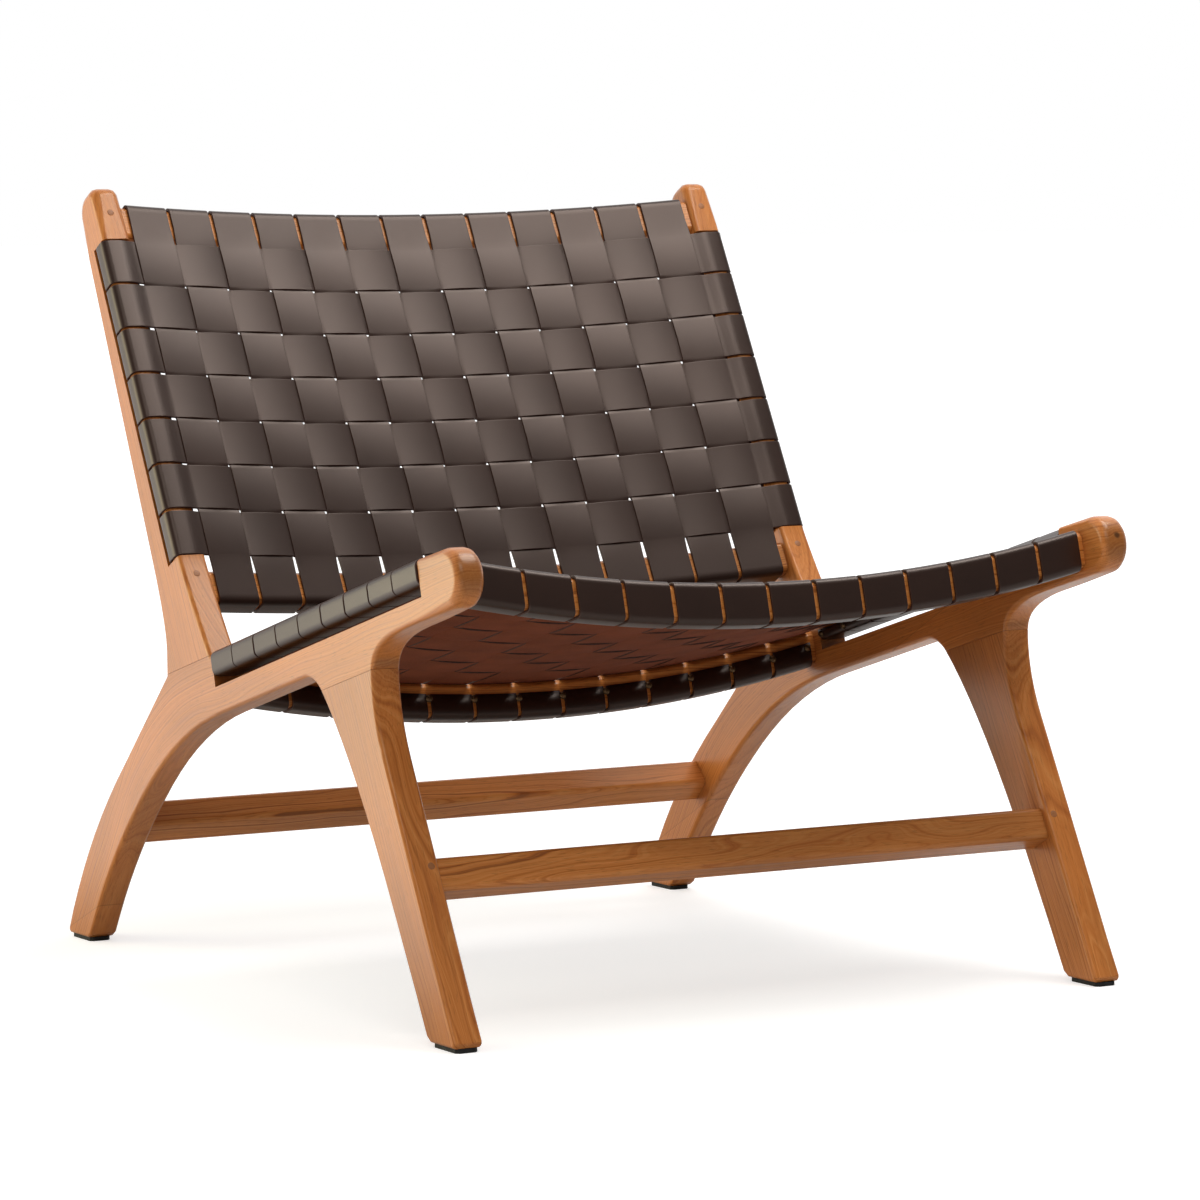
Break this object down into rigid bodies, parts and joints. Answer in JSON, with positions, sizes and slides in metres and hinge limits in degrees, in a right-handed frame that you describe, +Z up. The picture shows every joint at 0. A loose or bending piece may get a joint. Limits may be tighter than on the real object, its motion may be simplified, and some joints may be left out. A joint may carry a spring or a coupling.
{
  "type": "lounge chair",
  "caption": "Low armless lounge chair: two wooden side frames with splayed legs and round horns carry a reclined seat and back woven from wide leather straps.",
  "frame": {"origin": "on the floor, midway between the two sides and between the horn noses and the rear feet", "axes": "+X to the sitter's left, -Y the way the chair faces, +Z up"},
  "size_m": [0.663, 0.8021, 0.7061],
  "materials": {
    "wood": "satin oiled teak",
    "leather": "smooth dark brown saddle leather",
    "rubber": "matt black"
  },
  "bodies": {
    "root": {"left_side_rail": "wood", "left_back_upright": "wood", "left_front_leg": "wood", "right_side_rail": "wood", "right_back_upright": "wood", "right_front_leg": "wood", "front_seat_rail": "wood", "rear_seat_rail": "wood", "lower_back_rail": "wood", "top_back_rail": "wood", "front_stretcher": "wood", "rear_stretcher": "wood", "left_front_glide": "rubber", "left_rear_glide": "rubber", "right_front_glide": "rubber", "right_rear_glide": "rubber", "seat_long_strap_01": "leather", "seat_long_strap_02": "leather", "seat_long_strap_03": "leather", "seat_long_strap_04": "leather", "seat_long_strap_05": "leather", "seat_long_strap_06": "leather", "seat_long_strap_07": "leather", "seat_long_strap_08": "leather", "seat_long_strap_09": "leather", "seat_long_strap_10": "leather", "seat_long_strap_11": "leather", "seat_long_strap_12": "leather", "seat_long_strap_13": "leather", "seat_cross_strap_01": "leather", "seat_cross_strap_02": "leather", "seat_cross_strap_03": "leather", "seat_cross_strap_04": "leather", "seat_cross_strap_05": "leather", "seat_cross_strap_06": "leather", "seat_cross_strap_07": "leather", "seat_cross_strap_08": "leather", "seat_cross_strap_09": "leather", "back_long_strap_01": "leather", "back_long_strap_02": "leather", "back_long_strap_03": "leather", "back_long_strap_04": "leather", "back_long_strap_05": "leather", "back_long_strap_06": "leather", "back_long_strap_07": "leather", "back_long_strap_08": "leather", "back_long_strap_09": "leather", "back_long_strap_10": "leather", "back_long_strap_11": "leather", "back_long_strap_12": "leather", "back_long_strap_13": "leather", "back_cross_strap_01": "leather", "back_cross_strap_02": "leather", "back_cross_strap_03": "leather", "back_cross_strap_04": "leather", "back_cross_strap_05": "leather", "back_cross_strap_06": "leather", "back_cross_strap_07": "leather"}
  },
  "joints": []
}
